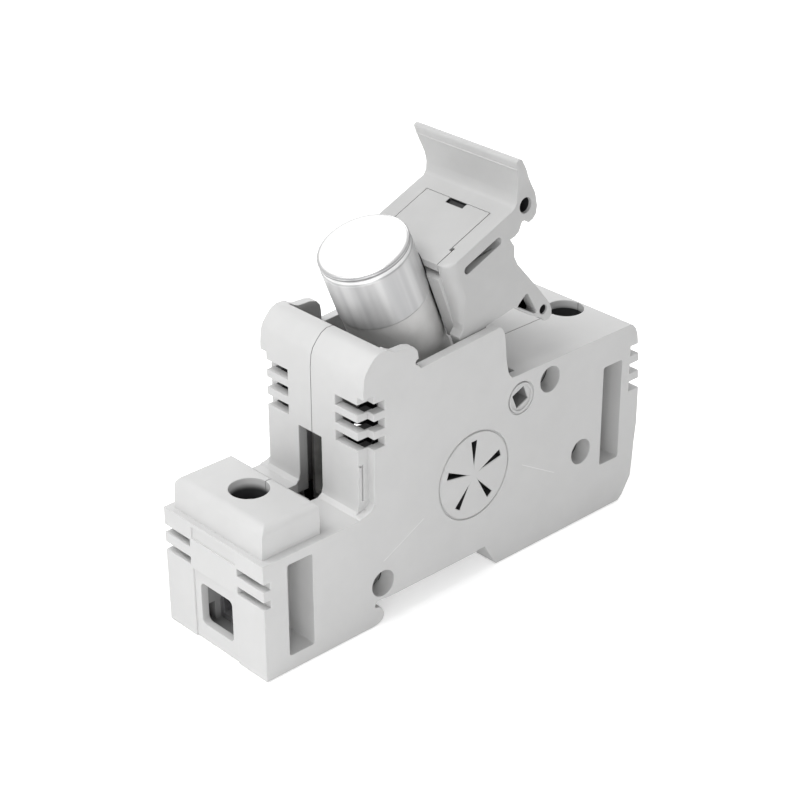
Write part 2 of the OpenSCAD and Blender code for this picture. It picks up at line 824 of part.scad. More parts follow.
// Three tubular rivets through both shells.
module shell_rivets() {
    color(c_metal)
        for (p = rivets)
            translate([p[0], hw, p[1]])
                rotate([90, 0, 0])
                    rotate_extrude($fn = 64)
                        polygon([
                            [rivet_bore_r, recess_d - 0.9],
                            [rivet_r + 0.3, recess_d - 0.9],
                            [recess_r - 0.3, recess_d - 0.5],
                            [recess_r - 0.3, recess_d],
                            [rivet_r, recess_d],
                            [rivet_r, body_w - recess_d],
                            [recess_r - 0.3, body_w - recess_d],
                            [recess_r - 0.3, body_w - recess_d + 0.5],
                            [rivet_r + 0.3, body_w - recess_d + 0.9],
                            [rivet_bore_r, body_w - recess_d + 0.9]]);
}

// Rail latch: nose under the rail's edge, window for its spring.
module din_latch() {
    color(c_carrier)
        difference() {
            union() {
                side_prism([
                    [grip_x, 5.0], [grip_x, 4.2],
                    [nose_x, slot_z0 + slide_gap],
                    [57.2, slot_z0 + slide_gap],
                    [57.2, slot_z1 - slide_gap],
                    [nose_x + 0.3, slot_z1 - slide_gap], [nose_x, 5.0]],
                    -slot_hw + slide_gap, slot_hw - slide_gap);
            }
            block(30, 49.8, -2.8, 2.8, 0, 6);
            z_bar(54.2, 0, 1.6, 0, 6);
        }
}

// Coil spring behind the latch, as rings joined by one side bar.
coil_n = 9;
coil_x0 = 30.05;
coil_x1 = stop_x - 0.05;
coil_r = 1.3;
wire_r = 0.25;
coil_z = (slot_z0 + slot_z1) / 2;

function coil_pt(k, per, i, m) =
    let (a = 360 * k / per, b = 360 * i / m,
         x = coil_x0 + wire_r + (coil_x1 - coil_x0 - 2 * wire_r) * k / (per * coil_n),
         r = coil_r + wire_r * cos(b))
    [x + wire_r * sin(b), r * cos(a), coil_z + r * sin(a)];

module latch_spring() {
    per = 16;
    m = 6;
    last = per * coil_n;
    color(c_metal)
        polyhedron(
            points = [for (k = [0:last]) for (i = [0:m - 1]) coil_pt(k, per, i, m)],
            faces = concat(
                [[for (i = [0:m - 1]) i]],
                [[for (i = [m - 1:-1:0]) last * m + i]],
                [for (k = [0:last - 1]) for (i = [0:m - 1])
                    [k * m + i, (k + 1) * m + i, (k + 1) * m + (i + 1) % m]],
                [for (k = [0:last - 1]) for (i = [0:m - 1])
                    [k * m + i, (k + 1) * m + (i + 1) % m, k * m + (i + 1) % m]]));
}

housing_near();
housing_far();
carrier();
carrier_panel();
pivot_bush_near();
pivot_bush_far();
fuse_tube();
fuse_cap_upper();
fuse_cap_lower();
link_spring();
contact_left();
contact_right();
jaw_spring_left();
jaw_spring_right();
terminal_cage_left();
terminal_cage_right();
terminal_screw_left();
terminal_screw_right();
shell_rivets();
din_latch();
latch_spring();
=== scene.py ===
"""Looks of a two-module fuse base with its fuse link standing in the open carrier.

Everything is in metres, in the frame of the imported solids: +Z away from the
rail, +X from the low terminal to the raised one, Y along the rail, with the two
shells meeting on y = 0.
"""

import logging
import math
from dataclasses import dataclass, field
from enum import Enum
from typing import Any, Dict, List, Optional, Tuple, Union

import bmesh
import bpy
from mathutils import Matrix, Vector

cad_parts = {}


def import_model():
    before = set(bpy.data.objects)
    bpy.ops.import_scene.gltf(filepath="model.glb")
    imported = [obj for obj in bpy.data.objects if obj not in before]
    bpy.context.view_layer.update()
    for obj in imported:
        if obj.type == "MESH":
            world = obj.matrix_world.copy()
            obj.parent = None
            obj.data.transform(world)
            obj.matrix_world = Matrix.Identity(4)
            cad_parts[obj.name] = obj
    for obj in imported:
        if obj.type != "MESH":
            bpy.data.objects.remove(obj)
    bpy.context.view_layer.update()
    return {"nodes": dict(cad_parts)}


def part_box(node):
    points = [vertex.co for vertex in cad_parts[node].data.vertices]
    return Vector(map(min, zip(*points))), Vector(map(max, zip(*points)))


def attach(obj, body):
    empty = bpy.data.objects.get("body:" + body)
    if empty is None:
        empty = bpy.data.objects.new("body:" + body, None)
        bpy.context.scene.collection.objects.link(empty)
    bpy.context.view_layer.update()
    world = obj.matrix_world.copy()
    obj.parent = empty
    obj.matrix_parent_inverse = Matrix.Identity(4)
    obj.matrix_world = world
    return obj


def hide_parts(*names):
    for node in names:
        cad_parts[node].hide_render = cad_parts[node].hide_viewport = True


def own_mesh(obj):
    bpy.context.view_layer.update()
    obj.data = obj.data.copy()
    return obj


LOG = logging.getLogger("fuse_base")
MM = 0.001
Colour = Tuple[float, float, float]
Point = Tuple[float, float, float]
Number = Union[int, float]

# Lean of the open carrier, and its pivot in the part and in the carrier's frame.
CARRIER_TILT = math.radians(22.6)
PIVOT_XZ = (18.8 * MM, 43.7 * MM)
PIVOT_VU = (14.69 * MM, -54.10 * MM)

# Half the fuse link's length and its caps' radius, in millimetres.
HALF_LINK = 29.0
CAP_RADIUS = 11.1

# Outer and inner face of the shells' side walls, in millimetres from the mid plane.
SIDE_Y = 18.0
INNER_Y = 15.46

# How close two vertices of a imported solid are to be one, in metres, and the
# angles below which faces are one flat face and from which an edge is rounded.
WELD = 0.002 * MM
FLAT = math.radians(0.5)
SHARP = math.radians(28.0)


class Link:
    """One output of a node, usable in Python expressions."""

    def __init__(self, sheet: "NodeSheet", made: bpy.types.Node, out: Union[str, int] = 0) -> None:
        """Keeps the node and which output is meant.

        Args:
            sheet: the node sheet that holds the node.
            made: the node.
            out: name or index of the output.
        """
        self.sheet = sheet
        self.made = made
        self.out = out

    @property
    def socket(self) -> bpy.types.NodeSocket:
        """The output socket itself."""
        return self.made.outputs[self.out]

    def also(self, out: Union[str, int]) -> "Link":
        """Another output of the same node."""
        return Link(self.sheet, self.made, out)

    def _math(self, operation: str, *values: Union["Link", Number]) -> "Link":
        """Adds one Math node.

        Args:
            operation: the Math node's operation.
            *values: its inputs in order.

        Returns:
            The node's value.
        """
        return self.sheet.node("ShaderNodeMath", {"operation": operation}, dict(enumerate(values)))

    def __add__(self, other: Union["Link", Number]) -> "Link":
        """Sum."""
        return self._math("ADD", self, other)

    __radd__ = __add__

    def __sub__(self, other: Union["Link", Number]) -> "Link":
        """Difference."""
        return self._math("SUBTRACT", self, other)

    def __rsub__(self, other: Union["Link", Number]) -> "Link":
        """Difference with the number on the left."""
        return self._math("SUBTRACT", other, self)

    def __mul__(self, other: Union["Link", Number]) -> "Link":
        """Product."""
        return self._math("MULTIPLY", self, other)

    __rmul__ = __mul__

    def __abs__(self) -> "Link":
        """Absolute value."""
        return self._math("ABSOLUTE", self)

    def root(self) -> "Link":
        """Square root."""
        return self._math("SQRT", self)

    def either(self, other: "Link") -> "Link":
        """The larger of two masks."""
        return self._math("MAXIMUM", self, other)

    def ramp(self, low: float, high: float) -> "Link":
        """Smooth step from 0 at low to 1 at high.

        Args:
            low: value that gives 0.
            high: value that gives 1.

        Returns:
            The stepped value.
        """
        return self.sheet.node(
            "ShaderNodeMapRange",
            {"interpolation_type": "SMOOTHSTEP"},
            {"Value": self, "From Min": low, "From Max": high, "To Min": 0.0, "To Max": 1.0},
        )

    def between(self, low: float, high: float, soft: float) -> "Link":
        """Mask that is 1 from low to high.

        Args:
            low: start of the band.
            high: end of the band.
            soft: width of its soft edges.

        Returns:
            The mask.
        """
        return self.ramp(low - soft, low) * (1.0 - self.ramp(high, high + soft))


class NodeSheet:
    """A node tree on which every node is made by one method."""

    def __init__(self, tree: bpy.types.NodeTree) -> None:
        """Empties the tree.

        Args:
            tree: the node tree of a material or of the world.
        """
        self.tree = tree
        self.tree.nodes.clear()

    def node(
        self,
        kind: str,
        settings: Optional[Dict[str, Any]] = None,
        values: Optional[Dict[Union[str, int], Any]] = None,
        out: Union[str, int] = 0,
    ) -> Link:
        """Makes one node of any type.

        Args:
            kind: Blender's name of the node type.
            settings: node properties, set before its sockets.
            values: numbers, colours or links for its input sockets.
            out: name or index of the output to give back.

        Returns:
            The chosen output.
        """
        made = self.tree.nodes.new(kind)
        for key, value in (settings or {}).items():
            setattr(made, key, value)
        for key, value in (values or {}).items():
            self.put(made.inputs[key], value)
        return Link(self, made, out)

    def put(self, socket: bpy.types.NodeSocket, value: Any) -> None:
        """Links a socket or sets its value.

        Args:
            socket: the input socket.
            value: a link, a number, a vector or a colour.
        """
        if isinstance(value, Link):
            self.tree.links.new(value.socket, socket)
        elif socket.type == "RGBA":
            socket.default_value = (*value, 1.0)
        else:
            socket.default_value = value

    def place(self) -> Link:
        """Object coordinates as a vector."""
        return self.node("ShaderNodeTexCoord", out="Object")

    def axes(self) -> Tuple[Link, Link, Link]:
        """Object coordinates as three numbers.

        Returns:
            x, y and z in metres.
        """
        split = self.node("ShaderNodeSeparateXYZ", values={"Vector": self.place()})
        return split, split.also(1), split.also(2)

    def noise(
        self, scale: float, detail: float = 3.0, rough: float = 0.55, vector: Optional[Link] = None
    ) -> Link:
        """Noise over the object, centred on 0.5.

        Args:
            scale: cells per metre.
            detail: number of octaves.
            rough: weight of the finer octaves.
            vector: coordinates to use in place of the object's own.

        Returns:
            The noise factor.
        """
        return self.node(
            "ShaderNodeTexNoise",
            values={"Vector": vector or self.place(), "Scale": scale, "Detail": detail, "Roughness": rough},
        )

    def along_link(self, squeeze: float) -> Link:
        """Coordinates turned to the fuse link and squeezed along it.

        Args:
            squeeze: scale along the link's axis.

        Returns:
            The coordinates.
        """
        turned = self.node(
            "ShaderNodeMapping", values={"Vector": self.place(), "Rotation": (0.0, CARRIER_TILT, 0.0)}
        )
        return self.node("ShaderNodeMapping", values={"Vector": turned, "Scale": (1.0, 1.0, squeeze)})

    def blend(
        self, factor: Union[Link, float], low: Union[Colour, Link], high: Union[Colour, Link]
    ) -> Link:
        """Mixes two colours.

        Args:
            factor: 0 gives low, 1 gives high.
            low: first colour.
            high: second colour.

        Returns:
            The mixed colour.
        """
        return self.node("ShaderNodeMix", {"data_type": "RGBA"}, {0: factor, 6: low, 7: high}, out=2)


class Surface(NodeSheet):
    """The node tree of one material with its Principled shader."""

    def __init__(self, name: str) -> None:
        """Makes the material.

        Args:
            name: the material's name.
        """
        self.material = bpy.data.materials.new(name)
        self.material.use_nodes = True
        super().__init__(self.material.node_tree)
        self.shader = self.node("ShaderNodeBsdfPrincipled")
        self.end = self.node("ShaderNodeOutputMaterial", values={"Surface": self.shader})

    def feed(self, **values: Union[Link, float, Colour]) -> None:
        """Sets or links sockets of the shader.

        Args:
            **values: socket names, with an underscore for each space.
        """
        for key, value in values.items():
            self.put(self.shader.made.inputs[key.replace("_", " ")], value)

    def bump(self, height: Link, depth: float) -> None:
        """Feeds a height to the shader's normal.

        Args:
            height: height from 0 to 1.
            depth: height of 1 in metres.
        """
        values = {"Height": height, "Distance": depth, "Strength": 1.0}
        self.feed(Normal=self.node("ShaderNodeBump", values=values))


@dataclass(frozen=True)
class MouldedPlastic:
    """Fine spark-eroded moulding with faint flow mottling."""

    name: str
    tone: Colour
    shade: Colour
    # Nearly black colour of the painted shade in hollows and inner spaces.
    painted_shade_tone: Colour = (0.018, 0.018, 0.019)
    rough: float = 0.5
    grain: float = 7000.0
    grain_depth: float = 0.010 * MM
    crease_highlight_tone: Colour = (0.85, 0.85, 0.85)
    crease_highlight_share: float = 0.4
    line_height: float = 5.0

    def dark(self, sheet: Surface) -> Optional[Link]:
        """Mask of the places painted dark: painted shade, and on the housing also its seam line.

        Args:
            sheet: the material's sheet.

        Returns:
            The mask, or nothing.
        """
        return None

    def lines(self, sheet: Surface) -> Optional[Link]:
        """Mask of fine raised lines, which get a bump and a painted highlight.

        Args:
            sheet: the material's sheet.

        Returns:
            The mask, or nothing.
        """
        return None

    def build(self) -> bpy.types.Material:
        """Makes the material.

        Returns:
            The finished material.
        """
        sheet = Surface(self.name)
        flow = sheet.noise(38.0, 4.0, 0.6)
        patch = sheet.noise(190.0, 3.0)
        speck = sheet.noise(2600.0, 2.0).ramp(0.68, 0.8)
        base = sheet.blend(flow.ramp(0.3, 0.7) * 0.65 + patch.ramp(0.35, 0.7) * 0.35, self.shade, self.tone)
        base = sheet.blend(speck * 0.12, base, tuple(c * 0.7 for c in self.tone))
        height = sheet.noise(self.grain, 2.0, 0.5) + patch * 0.4
        line = self.lines(sheet)
        # Painted highlight: the raised lines are coloured lighter, as if lit along their ridge.
        if line:
            base = sheet.blend(line * self.crease_highlight_share, base, self.crease_highlight_tone)
            height = height + line * self.line_height
        # Painted shade: the masked places are coloured nearly black, as if in shadow.
        dark = self.dark(sheet)
        if dark:
            base = sheet.blend(dark, base, self.painted_shade_tone)
        sheet.feed(Base_Color=base, Roughness=self.rough + patch * 0.1 - flow * 0.06, IOR=1.48)
        sheet.bump(height, self.grain_depth)
        return sheet.material


@dataclass(frozen=True)
class Cavity:
    """Box-shaped inner space, in millimetres, whose walls get painted shade."""

    low: Point
    high: Point
    depth: float = 1.0
    fade: float = 0.4

    def mask(self, x: Link, y: Link, z: Link) -> Link:
        """Mask of the painted shade on the space's walls.

        Args:
            x: place across the rail.
            y: place along the rail.
            z: place above the rail side.

        Returns:
            The mask, growing over the fade below the upper end.
        """
        soft = 0.06 * MM
        flat = x.between(self.low[0] * MM, self.high[0] * MM, soft) * y.between(
            self.low[1] * MM, self.high[1] * MM, soft
        )
        tall = z.ramp(self.low[2] * MM - soft, self.low[2] * MM) * (
            1.0 - z.ramp((self.high[2] - self.fade) * MM, self.high[2] * MM)
        )
        return flat * tall * self.depth


@dataclass(frozen=True)
class Well:
    """Round opening over a terminal screw, with painted shade below its rim."""

    centre_x: float
    radius: float
    top: float
    bottom: float

    def mask(self, x: Link, y: Link, z: Link) -> Link:
        """Mask of the painted shade on the well's wall.

        Args:
            x: place across the rail.
            y: place along the rail.
            z: place above the rail side.

        Returns:
            The mask.
        """
        off = x - self.centre_x * MM
        away = (off * off + y * y).root()
        tall = z.ramp((self.bottom - 0.5) * MM, self.bottom * MM) * (
            1.0 - z.ramp((self.top - 3.2) * MM, (self.top - 1.2) * MM)
        )
        return (1.0 - away.ramp((self.radius + 0.03) * MM, (self.radius + 0.08) * MM)) * tall


@dataclass(frozen=True)
class Bore:
    """Round hole along Y, the same on both sides, in millimetres."""

    centre: Tuple[float, float]
    radius: float
    low_y: float
    high_y: float
    depth: float = 1.0

    def mask(self, a: Link, b: Link, y: Link) -> Link:
        """Mask of the hole's wall and floor.

        Args:
            a: first coordinate across the hole.
            b: second coordinate across the hole.
            y: distance from the mid plane.

        Returns:
            The mask.
        """
        off_a = a - self.centre[0] * MM
        off_b = b - self.centre[1] * MM
        away = (off_a * off_a + off_b * off_b).root()
        inside = 1.0 - away.ramp((self.radius + 0.04) * MM, (self.radius + 0.1) * MM)
        return inside * y.between(self.low_y * MM, self.high_y * MM, 0.1 * MM) * self.depth


@dataclass(frozen=True)
class Crease:
    """Hair-thin raised line on the side faces, from start to end in x and z."""

    start: Tuple[float, float]
    end: Tuple[float, float]
    width: float = 0.22

    def mask(self, x: Link, z: Link) -> Link:
        """Mask of the line.

        Args:
            x: place across the rail.
            z: place above the rail side.

        Returns:
            The mask.
        """
        run = (self.end[0] - self.start[0], self.end[1] - self.start[1])
        length = math.hypot(*run)
        c, s = run[0] / length, run[1] / length
        off_x = x - self.start[0] * MM
        off_z = z - self.start[1] * MM
        along = off_x * c + off_z * s
        across = abs(off_z * c - off_x * s)
        return along.between(0.0, length * MM, 0.8 * MM) * (1.0 - across.ramp(0.0, self.width * MM))


@dataclass(frozen=True)
class HousingPlastic(MouldedPlastic):
    """Moulding of the shells: painted shade inside, with the dark seam line on the mid plane."""

    # Painted shade: the inner spaces, the ring slots and the wells are coloured dark; the side pockets and
    # rivet recesses are kept out of it.
    spaces: Tuple[Cavity, ...] = (
        Cavity((-29.45, -INNER_Y, 8.6), (59.6, INNER_Y, 48.4)),
        Cavity((-29.45, -INNER_Y, 48.0), (-24.7, INNER_Y, 66.0), fade=3.0),
        Cavity((-24.85, -INNER_Y, 48.0), (15.7, INNER_Y, 69.6), depth=0.93, fade=1.6),
        Cavity((-59.6, -INNER_Y, 2.4), (-34.4, INNER_Y, 28.3), depth=0.55),
        Cavity((-32.8, -3.4, 27.9), (-29.3, 1.0, 46.3)),
        Cavity((-32.8, 1.1, 27.9), (-29.3, 4.8, 46.3), depth=0.35),
    )
    slots: Bore = Bore((3.2, 28.5), 10.6, 15.4, 17.7)
    pockets: Tuple[Cavity, ...] = (
        Cavity((-55.1, 9.1, 3.9), (-47.6, 18.3, 28.3), fade=0.01),
        Cavity((48.3, 9.1, 13.5), (55.3, 18.3, 41.5), fade=0.01),
    )
    recesses: Tuple[Bore, ...] = (
        Bore((-26.35, 10.9), 3.45, 13.6, 18.3),
        Bore((28.8, 45.2), 3.45, 13.6, 18.3),
        Bore((41.0, 20.4), 3.45, 13.6, 18.3),
    )
    wells: Tuple[Well, ...] = (Well(-50.8, 4.75, 38.8, 30.0), Well(53.0, 4.75, 50.3, 41.6))
    creases: Tuple[Crease, ...] = (
        Crease((-25.8, 17.1), (-13.7, 23.1)),
        Crease((20.0, 24.7), (30.9, 18.4)),
    )
    seam_from: float = -47.0
    seam_depth: float = 0.75

    def dark(self, sheet: Surface) -> Link:
        """Mask of the painted shade on the inner walls, the ring slots and the wells, with the seam.

        Args:
            sheet: the material's sheet.

        Returns:
            The mask.
        """
        x, y, z = sheet.axes()
        side = abs(y)
        past_cover = x.ramp(self.seam_from * MM, (self.seam_from + 0.2) * MM)
        mask = past_cover * (1.0 - side.ramp(0.04 * MM, 0.16 * MM)) * self.seam_depth
        for part in (*self.spaces, *self.wells):
            mask = mask.either(part.mask(x, y, z))
        mask = mask.either(self.slots.mask(x, z, side))
        for pocket in self.pockets:
            mask = mask * (1.0 - pocket.mask(x, side, z))
        for recess in self.recesses:
            mask = mask * (1.0 - recess.mask(x, z, side))
        return mask

    def lines(self, sheet: Surface) -> Link:
        """Mask of the creases on both side faces.

        Args:
            sheet: the material's sheet.

        Returns:
            The mask.
        """
        x, y, z = sheet.axes()
        first, second = (crease.mask(x, z) for crease in self.creases)
        return first.either(second) * abs(y).ramp((SIDE_Y - 0.1) * MM, (SIDE_Y - 0.05) * MM)


@dataclass(frozen=True)
class CarrierPlastic(MouldedPlastic):
    """Moulding of the carrier, with painted shade round the fuse link and in its small openings."""

    # Radius round the link's axis within which the saddle gets painted shade, in millimetres.
    reach: float = 11.35
    notches: Tuple[Cavity, ...] = (
        Cavity((26.85, -3.05, -10.2), (28.7, 2.65, -9.27), fade=0.05),
        Cavity((13.3, 12.0, -14.32), (24.4, 14.9, -12.2), depth=0.93, fade=0.05),
    )
    holes: Tuple[Bore, ...] = (
        Bore((31.1, -40.0), 1.2, 0.0, 14.6),
        Bore((35.6, -10.7), 1.9, 0.0, 14.2),
    )

    @staticmethod
    def local(x: Link, z: Link) -> Tuple[Link, Link]:
        """Place in the leaning carrier's own frame.

        Args:
            x: place across the rail.
            z: place above the rail side.

        Returns:
            Distance behind the link's axis, and height along it from the link's top.
        """
        c, s = math.cos(CARRIER_TILT), math.sin(CARRIER_TILT)
        v = x * c + z * s + (PIVOT_VU[0] - PIVOT_XZ[0] * c - PIVOT_XZ[1] * s)
        u = z * c - x * s + (PIVOT_VU[1] + PIVOT_XZ[0] * s - PIVOT_XZ[1] * c)
        return v, u

    def dark(self, sheet: Surface) -> Link:
        """Mask of the painted shade on the saddle around the fuse link and in the small openings.

        Args:
            sheet: the material's sheet.

        Returns:
            The mask.
        """
        x, y, z = sheet.axes()
        v, u = self.local(x, z)
        side = abs(y)
        mask = 1.0 - (v * v + y * y).root().ramp(self.reach * MM, (self.reach + 0.06) * MM)
        first, second = self.notches
        mask = mask.either(first.mask(v, y, u)).either(second.mask(v, side, u))
        for hole in self.holes:
            mask = mask.either(hole.mask(v, u, side))
        return mask


@dataclass(frozen=True)
class BushPlastic(MouldedPlastic):
    """Moulding of the pivot bushes, with painted shade in the square socket."""

    socket: Bore = Bore((18.8, 43.7), 3.1, 0.0, 17.2, 0.6)

    def dark(self, sheet: Surface) -> Link:
        """Mask of the painted shade in the socket.

        Args:
            sheet: the material's sheet.

        Returns:
            The mask.
        """
        x, y, z = sheet.axes()
        return self.socket.mask(x, z, abs(y))


@dataclass(frozen=True)
class PlatedMetal:
    """Plated sheet or turned metal with fine drawing marks."""

    name: str
    tone: Colour
    shade: Colour
    rough: float = 0.25
    metallic: float = 1.0
    mark_scale: float = 2500.0
    mark_depth: float = 0.004 * MM

    def noises(self, sheet: Surface) -> Tuple[Link, Link]:
        """Noises of the surface.

        Args:
            sheet: the material's sheet.

        Returns:
            The drawing marks and the broader clouding.
        """
        return sheet.noise(self.mark_scale, 3.0, 0.6), sheet.noise(140.0, 4.0, 0.6)

    def worked(self, sheet: Surface, base: Link, rough: Link) -> Tuple[Link, Link]:
        """Adds what lies over the plated colour: here the metallic value, on the caps also painted light.

        Args:
            sheet: the material's sheet.
            base: the colour so far.
            rough: the roughness so far.

        Returns:
            The new colour and roughness.
        """
        sheet.feed(Metallic=self.metallic)
        return base, rough

    def build(self) -> bpy.types.Material:
        """Makes the material.

        Returns:
            The finished material.
        """
        sheet = Surface(self.name)
        drawn, cloud = self.noises(sheet)
        spots = sheet.noise(1500.0, 2.0).ramp(0.7, 0.82)
        base = sheet.blend(cloud.ramp(0.36, 0.64), self.shade, self.tone)
        base, rough = self.worked(sheet, base, drawn * 0.08 + cloud * 0.06 + self.rough)
        base = sheet.blend(spots * 0.15, base, tuple(c * 0.6 for c in self.tone))
        sheet.feed(Base_Color=base, Roughness=rough + spots * 0.1)
        sheet.bump(drawn, self.mark_depth)
        return sheet.material


@dataclass(frozen=True)
class CapMetal(PlatedMetal):
    """Metal of the link's caps: streaked along it, with a polished face coloured near white as a painted
    reflection, painted shade round the rim and a painted highlight in the groove.
    """

    squeeze: float = 0.04
    polish: float = 0.18
    face_reflection_tone: Colour = (0.97, 0.97, 0.965)
    rim_shade_tone: Colour = (0.22, 0.22, 0.225)
    rim_shade_share: float = 0.8
    groove_highlight_tone: Colour = (0.9, 0.9, 0.9)
    groove_highlight_share: float = 0.6

    def noises(self, sheet: Surface) -> Tuple[Link, Link]:
        """Noises drawn out along the link.

        Args:
            sheet: the material's sheet.

        Returns:
            The drawing marks and the broader streaks.
        """
        drawn = sheet.noise(self.mark_scale, 3.0, 0.6, sheet.along_link(self.squeeze))
        return drawn, sheet.noise(210.0, 2.0, 0.5, sheet.along_link(self.squeeze))

    @staticmethod
    def painted_end_light(sheet: Surface) -> Tuple[Link, Link, Link]:
        """Masks of the painted light at both ends of the link.

        Args:
            sheet: the material's sheet.

        Returns:
            The painted reflection on the face, the painted shade on the rim with the lines under it, and
            the painted highlight in the groove.
        """
        x, y, z = sheet.axes()
        v, u = CarrierPlastic.local(x, z)
        depth = abs(u + HALF_LINK * MM) - HALF_LINK * MM
        away = (v * v + y * y).root()
        face = depth.ramp(-0.3 * MM, -0.12 * MM)
        edge = away.ramp((CAP_RADIUS - 0.85) * MM, (CAP_RADIUS - 0.55) * MM)
        edge = edge * depth.ramp(-0.5 * MM, -0.4 * MM) * 0.85
        upper_shade_line = depth.between(-1.25 * MM, -0.75 * MM, 0.12 * MM)
        lower_shade_line = depth.between(-2.45 * MM, -2.2 * MM, 0.1 * MM) * 0.45
        groove = depth.between(-2.1 * MM, -1.35 * MM, 0.1 * MM)
        return face, edge.either(upper_shade_line.either(lower_shade_line)), groove

    def worked(self, sheet: Surface, base: Link, rough: Link) -> Tuple[Link, Link]:
        """Adds the painted reflection on the face, the painted shade on the rim and the painted highlight
        in the groove.

        Args:
            sheet: the material's sheet.
            base: the colour so far.
            rough: the roughness so far.

        Returns:
            The new colour and roughness.
        """
        face, rim, groove = self.painted_end_light(sheet)
        # Painted reflection on the face, painted shade on the rim and painted highlight in the groove.
        base = sheet.blend(face, base, self.face_reflection_tone)
        base = sheet.blend(rim * self.rim_shade_share, base, self.rim_shade_tone)
        base = sheet.blend(groove * self.groove_highlight_share, base, self.groove_highlight_tone)
        sheet.feed(Metallic=face * (1.0 - rim) * (1.0 - self.metallic) + self.metallic)
        return base, rough - face * self.polish


@dataclass(frozen=True)
class GlazedCeramic:
    """Off-white ceramic with a thin uneven glaze and pinholes."""

    name: str
    tone: Colour
    shade: Colour
    pin_tone: Colour = (0.35, 0.33, 0.3)

    def build(self) -> bpy.types.Material:
        """Makes the material.

        Returns:
            The finished material.
        """
        sheet = Surface(self.name)
        cloud = sheet.noise(90.0, 4.0, 0.6)
        pin = sheet.noise(1800.0, 1.0).ramp(0.74, 0.8)
        base = sheet.blend(cloud.ramp(0.3, 0.7), self.shade, self.tone)
        sheet.feed(Base_Color=sheet.blend(pin * 0.4, base, self.pin_tone), Roughness=0.26 + cloud * 0.12)
        sheet.bump(1.0 - pin, 0.03 * MM)
        return sheet.material


class Finish(Enum):
    """The finishes of this object."""

    HOUSING = HousingPlastic("housing_plastic", (0.545, 0.545, 0.543), (0.515, 0.515, 0.513))
    CARRIER = CarrierPlastic("carrier_plastic", (0.47, 0.47, 0.468), (0.44, 0.44, 0.438), rough=0.48)
    BUSH = BushPlastic("bush_plastic", (0.52, 0.52, 0.518), (0.49, 0.49, 0.488))
    LATCH = MouldedPlastic("latch_moulding", (0.06, 0.06, 0.062), (0.045, 0.045, 0.046), rough=0.45)
    CAP = CapMetal("drawn_cap_metal", (0.60, 0.60, 0.60), (0.43, 0.43, 0.435), rough=0.34, metallic=0.35)
    CERAMIC = GlazedCeramic("glazed_ceramic", (0.60, 0.597, 0.59), (0.52, 0.517, 0.51))
    CONTACT = PlatedMetal("fork_metal", (0.84, 0.835, 0.82), (0.66, 0.655, 0.64), rough=0.3, metallic=0.55)
    SPRING = PlatedMetal("jaw_steel", (0.30, 0.30, 0.31), (0.22, 0.22, 0.23), rough=0.36)
    ZINC = PlatedMetal("zinc_plate", (0.62, 0.62, 0.63), (0.45, 0.45, 0.47), rough=0.34)
    # Turned rivet metal, its tone kept dark as painted shade for the floors of their recesses.
    RIVET = PlatedMetal("turned_rivet", (0.30, 0.30, 0.295), (0.20, 0.20, 0.195), rough=0.42)

    def material(self) -> bpy.types.Material:
        """Makes the finish once and gives it back.

        Returns:
            The shared material.
        """
        return bpy.data.materials.get(self.value.name) or self.value.build()


def show(name: str, bm: bmesh.types.BMesh, finish: Finish, smooth: float = 32.0) -> bpy.types.Object:
    """Turns a bmesh into a shown object at the origin.

    Args:
        name: the piece's name.
        bm: the shape, freed afterwards.
        finish: its finish.
        smooth: edges below this angle in degrees are shaded smooth.

    Returns:
        The new object.
    """
    mesh = bpy.data.meshes.new(name)
    limit = math.radians(smooth)
    for face in bm.faces:
        face.smooth = True
    for edge in bm.edges:
        edge.smooth = len(edge.link_faces) == 2 and edge.calc_face_angle(0.0) < limit
    bm.to_mesh(mesh)
    bm.free()
    obj = bpy.data.objects.new(name, mesh)
    bpy.context.scene.collection.objects.link(obj)
    mesh.materials.append(finish.material())
    weighted = obj.modifiers.new("flat_faces", "WEIGHTED_NORMAL")
    weighted.keep_sharp = True
    return obj


def broad_enough(edge: bmesh.types.BMEdge, width: float) -> bool:
    """Whether both faces beside an edge are wider than a rounding.

    Args:
        edge: the edge.
        width: the least width of a face, in metres.

    Returns:
        True where the rounding fits.
    """
    return all(face.calc_area() > edge.calc_length() * width for face in edge.link_faces)


def rounded(bm: bmesh.types.BMesh, edges: List[bmesh.types.BMEdge], radius: float, segments: int) -> None:
    """Rounds the given edges of a shape.

    Args:
        bm: the shape.
        edges: the edges to round.
        radius: width of the rounding in metres.
        segments: faces across the rounding.
    """
    bmesh.ops.bevel(
        bm, geom=edges, offset=radius, offset_type="OFFSET", segments=segments, profile=0.5,
        affect="EDGES", clamp_overlap=False, material=-1, miter_outer="ARC", miter_inner="SHARP",
    )


def welded(node: str) -> bmesh.types.BMesh:
    """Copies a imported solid, whose triangles are loose, and merges it.

    Args:
        node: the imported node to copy.

    Returns:
        The closed shape.
    """
    bm = bmesh.new()
    bm.from_mesh(bpy.data.objects[node].data)
    bmesh.ops.remove_doubles(bm, verts=bm.verts, dist=WELD)
    return bm


